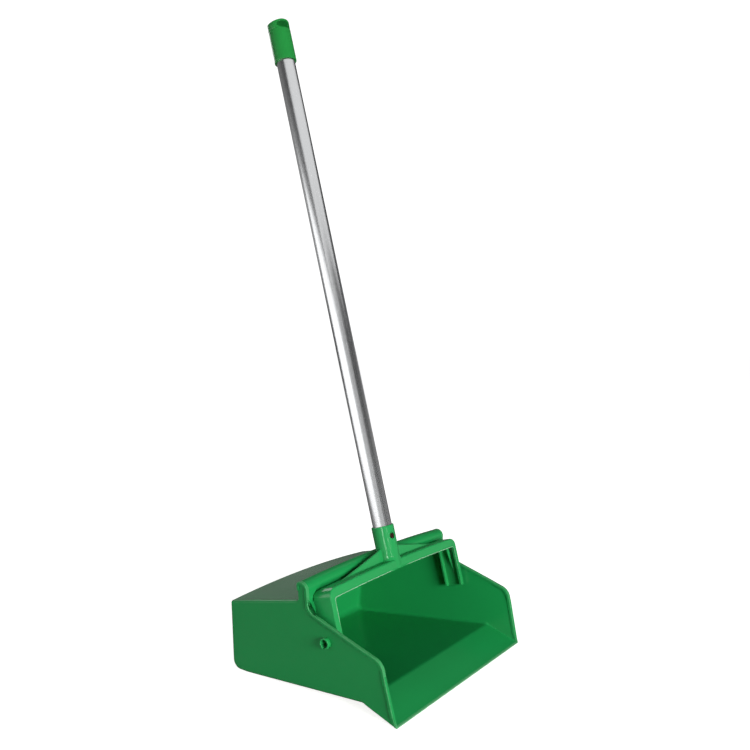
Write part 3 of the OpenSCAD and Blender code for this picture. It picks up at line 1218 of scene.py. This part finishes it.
@dataclass
class HangingCap:
    """The plastic cap: plain below, an arched crown above with a D-shaped window and a web."""

    finish: MouldedPlastic
    line: HandleLine
    turn: float = -8.0
    radius: float = 14.3
    bore: float = 11.9
    foot: float = 700.0
    sill: float = 741.5
    crown: float = 52.0
    crown_top: float = 753.0
    crown_wall: float = 2.5
    window: float = 11.3
    depth: float = 38.0
    slot: float = 6.0
    web: float = 3.0
    soft: float = 0.7

    def place(self, points: Array) -> Array:
        """Turns the cap about the handle, then puts it into the row frame."""
        c, s = math.cos(math.radians(self.turn)), math.sin(math.radians(self.turn))
        x, y = points[..., 0], points[..., 1]
        return self.line.place(np.stack([x * c - y * s, x * s + y * c, points[..., 2]], axis=-1))

    def crown_at(self, x: Array) -> Array:
        """Height of the crown above the sill: an arc, crown_top - crown + sqrt(crown^2 - x^2)."""
        return self.crown_top - self.sill - self.crown + np.sqrt(self.crown**2 - x**2)

    def window_at(self, x: Array) -> Array:
        """Height of the window above the sill: under the crown, with rounded upper corners."""
        share = np.clip(np.abs(x) / self.window, 0, 1)
        return (self.crown_at(x) - self.crown_wall) * (1 - share**5) ** 0.2

    def ring(self, shrink: Array, rise: Rise, lift: Array, steps: int = 180) -> Array:
        """Rings round the cap whose height follows an arch.

        At angle a and radius r the point is (r sin a, -r cos a), at the sill plus the rise.

        Args:
            shrink: How far each ring is inside the cap's radius.
            rise: Height above the sill at a distance across the cap.
            lift: Added to each ring's height.
            steps: Steps round.

        Returns:
            Points of shape (rings, steps, 3).
        """
        angle = 2 * math.pi * np.arange(steps) / steps
        radius = (self.radius - shrink)[:, None]
        x = radius * np.sin(angle)
        height = self.sill + rise(x) + lift[:, None]
        return np.stack([x, -radius * np.cos(angle), height], axis=-1)

    def barrel(self, rise: Rise) -> Array:
        """An arched sheet from the front of the cap to its back.

        Args:
            rise: Height above the sill at a distance across the cap.

        Returns:
            Points of shape (91, 25, 3).
        """
        radius = self.radius - self.soft
        angle = np.linspace(-math.pi / 2, math.pi / 2, 91)[:, None]
        x = radius * np.sin(angle) * np.ones((1, 25))
        y = radius * np.cos(angle) * np.linspace(-1, 1, 25)[None, :]
        return np.stack([x, y, self.sill + rise(x)], axis=-1)

    def build(self) -> bpy.types.Object:
        """Makes and dresses the cap.

        Returns:
            The cap.
        """
        under, over = quarter(6)
        ease, drop = self.soft * over, self.soft * under
        outer = np.array([[self.bore, self.foot + self.depth], [self.bore, self.foot + 1.5]])
        mouth = np.stack([self.bore + 0.35 * over, self.foot + 0.35 * under], axis=1)
        edge = np.stack([self.radius - 0.6 * under, self.foot + 0.6 * over], axis=1)
        side = np.array([[self.radius, z] for z in np.linspace(self.foot + 2, self.sill - 2, 16)])
        head = [[0.001, self.foot + self.depth]]
        lower = np.concatenate([head, outer, mouth, edge, side])
        zero = np.zeros(1)
        sill = self.ring(ease, np.zeros_like, -drop)
        skin = Skin()
        bottom = np.concatenate([lathe(lower, 180), sill], axis=0)
        skin.grid(self.place(bottom), wrap=True)
        skin.polygon(self.place(sill[-1]))
        lintel = self.ring(ease[::-1], self.window_at, drop[::-1])
        rim = self.ring(ease, self.crown_at, -drop)
        upper = np.concatenate([lintel, self.ring(zero, self.crown_at, zero - 1.3), rim], axis=0)
        skin.grid(self.place(upper), wrap=True)
        skin.grid(self.place(self.barrel(self.crown_at)))
        skin.grid(self.place(self.barrel(self.window_at)))
        parts = [skin.build("cap_body", weld=0.01, crease=45), self.web_plate()]
        cap = join("hanging_cap_moulding", parts, 45.0)
        settle(cap, self.finish.material(), Body.HANDLE, Slot.CAP, "hanging_cap")
        return cap

    def web_plate(self) -> bpy.types.Object:
        """The web that crosses the window, with a rounded bead along its lower edge.

        Across the cap its top follows the arch inside the crown, and its section is a plate
        that swells into a bead above the slot.

        Returns:
            The closed web.
        """
        x = np.linspace(-11.4, 11.4, 49)
        top = self.sill + self.crown_at(x) - 1.0
        low = np.full_like(x, self.sill + self.slot - 1.0)
        turn = np.linspace(0, math.pi, 13)
        half, bead = self.web / 2, 1.9
        flank = np.array([half, half, half + 0.1])
        v = np.concatenate([flank, bead * np.cos(turn), -flank[::-1]])
        rise = np.concatenate([[3.2, 2.6, 2.1], bead - bead * np.sin(turn), [2.1, 2.6, 3.2]])
        u = low[:, None] + rise[None, :]
        u[:, 0] = u[:, -1] = top
        points = [np.broadcast_to(x[:, None], u.shape), np.broadcast_to(v, u.shape), u]
        grid = self.place(np.stack(points, axis=-1))
        skin = Skin()
        skin.strip(grid)
        return skin.build("web", crease=60)


# ---------------------------------------------------------------- the studio


class Shine(Enum):
    """What a light does: lights surfaces, shows in their gloss, or both."""

    BOTH = "both"
    DIFFUSE = "diffuse"
    REFLECTION = "reflection"


def heading(bearing: float, rise: float) -> Vector:
    """A direction from its bearing, in degrees from +Y towards +X, and its rise."""
    turn, lift = math.radians(bearing), math.radians(rise)
    level = math.cos(lift)
    return Vector((math.sin(turn) * level, math.cos(turn) * level, math.sin(lift)))


@dataclass
class Studio:
    """A pale floor, soft lights and the camera."""

    tube: bpy.types.Object
    camera_at: tuple[float, float, float] = (-824.6, -603.2, 408.6)
    yaw: float = 54.741
    pitch: float = -3.309
    roll: float = -0.235
    lens: float = 39.88
    horizon: float = 0.40
    zenith: float = 0.06
    reach: float = 12000.0

    def floor(self) -> None:
        """A plain pale floor that glows, so that it meets the white surroundings.

        Near the object it glows less, which leaves a soft shadow where the two meet. The object
        itself sees a duller floor, and keeps its colour.
        """
        skin = Skin()
        across, along = np.meshgrid([-self.reach, self.reach], [-self.reach, self.reach])
        skin.grid(np.stack([across, along, 0.0 * along], axis=-1))
        floor = skin.build("floor")
        bench = Bench("pale floor")
        haze = bench.noise(bench.place(), 3.0, 2.0)
        length = {"operation": "LENGTH"}
        away = bench.node("ShaderNodeVectorMath", length, {0: bench.place()}, "Value")
        span = {"Value": away, "From Min": 0.4, "From Max": 2.2}
        far = bench.node("ShaderNodeMapRange", {}, span)
        glow = bench.blend(far, (0.84, 0.83, 0.82), (0.96, 0.96, 0.96))
        seen = bench.node("ShaderNodeLightPath", output="Is Camera Ray")
        pale = bench.blend(haze, (0.88, 0.88, 0.88), (0.92, 0.92, 0.92))
        bench.dress(
            base_color=bench.blend(seen, (0.35, 0.35, 0.35), pale),
            roughness=0.9,
            specular_ior_level=0.1,
            emission_color=bench.blend(seen, (0.0, 0.0, 0.0), glow),
            emission_strength=1.0,
        )
        floor.data.materials.append(bench.material)

    def world(self) -> None:
        """White surroundings: full white to the camera, and to the object brightest low down.

        Away from the camera's own rays the strength falls from the horizon to straight above.
        """
        world = bpy.data.worlds.new("soft white")
        bpy.context.scene.world = world
        world.use_nodes = True
        tree = world.node_tree
        tree.nodes.clear()
        add, link = tree.nodes.new, tree.links.new
        path, mix = add("ShaderNodeLightPath"), add("ShaderNodeMixShader")
        output, where = add("ShaderNodeOutputWorld"), add("ShaderNodeTexCoord")
        split, ramp = add("ShaderNodeSeparateXYZ"), add("ShaderNodeMapRange")
        seen, around = add("ShaderNodeBackground"), add("ShaderNodeBackground")
        for sky in (seen, around):
            sky.inputs["Color"].default_value = (1.0, 1.0, 1.0, 1.0)
        seen.inputs["Strength"].default_value = 1.15
        link(where.outputs["Generated"], split.inputs[0])
        link(split.outputs["Z"], ramp.inputs["Value"])
        ends = {"From Max": 0.3, "To Min": self.horizon, "To Max": self.zenith}
        for end, value in ends.items():
            ramp.inputs[end].default_value = value
        link(ramp.outputs[0], around.inputs["Strength"])
        link(path.outputs["Is Camera Ray"], mix.inputs[0])
        link(around.outputs[0], mix.inputs[1])
        link(seen.outputs[0], mix.inputs[2])
        link(mix.outputs[0], output.inputs["Surface"])

    def light(
        self,
        name: str,
        bearing: float,
        rise: float,
        size: tuple[float, float],
        glow: float,
        tube_only: bool = False,
        shine: Shine = Shine.BOTH,
    ) -> None:
        """A soft box that faces the object.

        Args:
            name: Its name.
            bearing: Its direction seen from above, in degrees from -Y towards -X.
            rise: Its height above the horizon, in degrees.
            size: Its width and height in metres.
            glow: Its radiance.
            tube_only: Whether it lights the tube alone, and from closer, or all but the tube.
            shine: Whether it counts as light, as a reflection or as both.
        """
        away = 0.7 if tube_only else 2.2
        toward = heading(180.0 + bearing, rise)
        aim = Vector((0.0, 0.1, 0.38)) if tube_only else Vector((0.0, 0.0, 0.12))
        data = bpy.data.lights.new(name, "AREA")
        data.shape = "RECTANGLE"
        data.size, data.size_y = size
        data.energy = glow * math.pi * size[0] * size[1]
        lamp = shown(bpy.data.objects.new(name, data))
        lamp.location = aim + toward * away
        lamp.rotation_euler = (-toward).to_track_quat("-Z", "Y").to_euler()
        lamp.visible_glossy = shine is not Shine.DIFFUSE
        lamp.visible_diffuse = shine is not Shine.REFLECTION
        lit = bpy.data.collections.new(name + " falls on")
        others = [o for o in bpy.context.scene.objects if o.type == "MESH" and o != self.tube]
        for piece in [self.tube] if tube_only else others:
            lit.objects.link(piece)
        lamp.light_linking.receiver_collection = lit

    def camera(self) -> None:
        """The camera, from its place and its three angles.

        At roll a its side is right cos a + up sin a, and its head is up cos a - right sin a.
        """
        yaw, roll = math.radians(self.yaw), math.radians(self.roll)
        ahead = heading(self.yaw, self.pitch)
        right = Vector((math.cos(yaw), -math.sin(yaw), 0.0))
        up = right.cross(ahead)
        side = right * math.cos(roll) + up * math.sin(roll)
        head = up * math.cos(roll) - right * math.sin(roll)
        data = bpy.data.cameras.new("camera")
        data.lens, data.sensor_width = self.lens, 36.0
        data.clip_start, data.clip_end = 0.05, 200.0
        camera = shown(bpy.data.objects.new("camera", data))
        turn = Matrix((side, head, -ahead)).transposed()
        camera.matrix_world = Matrix.Translation(Vector(self.camera_at) * MM) @ turn.to_4x4()
        bpy.context.scene.camera = camera

    def build(self) -> None:
        """Sets up the whole studio."""
        self.floor()
        self.world()
        self.light("key box", 20.0, 11.5, (0.9, 0.7), 29.0, shine=Shine.DIFFUSE)
        self.light("gleam", 66.0, 8.0, (0.3, 0.6), 14.0, shine=Shine.REFLECTION)
        self.light("left box", 116.0, 7.0, (2.4, 1.6), 1.5)
        self.light("back box", 200.0, 38.0, (1.4, 1.0), 2.2)
        self.light("tube box", 108.0, -2.0, (1.35, 0.7), 1.3, tube_only=True)
        self.light("tube front", 40.0, 0.0, (0.7, 0.8), 0.35, tube_only=True)
        self.light("tube sky", 8.0, 55.0, (1.5, 0.55), 0.8, tube_only=True)
        self.camera()
        scene = bpy.context.scene
        scene.view_settings.view_transform = "Standard"
        scene.view_settings.look = "None"
        scene.view_settings.exposure = 0.0


def main() -> None:
    """Builds every piece, dresses the CAD nodes that stay and sets up the studio."""
    logging.basicConfig(level=logging.INFO, format="%(name)s: %(message)s")
    pan_green = MouldedPlastic("pan green", (0.011, 0.290, 0.070))
    yoke_green = MouldedPlastic("yoke green", (0.016, 0.310, 0.078), roughness=0.2)
    cap_green = MouldedPlastic("cap green", (0.018, 0.260, 0.048), roughness=0.26)
    pan = Pan(pan_green)
    pan.build()
    lip_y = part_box("pan")[0].y / MM
    line = HandleLine((lip_y + pan.pivot[0], pan.pivot[1]))
    Yoke(yoke_green, line).build()
    tube = Tube(DrawnAluminium("drawn aluminium", line.lean), line).build()
    HangingCap(cap_green, line).build()
    nodes = frame["nodes"]
    white = MouldedPlastic("plug white", (0.60, 0.60, 0.55), roughness=0.4)
    settle(nodes["tube_plug"], white.material(), Body.HANDLE, Slot.PLUG)
    settle(nodes["tube_screw"], PlatedSteel("plated steel").material(), Body.HANDLE, Slot.SCREW)
    Studio(tube).build()


if __name__ == "__main__":
    main()
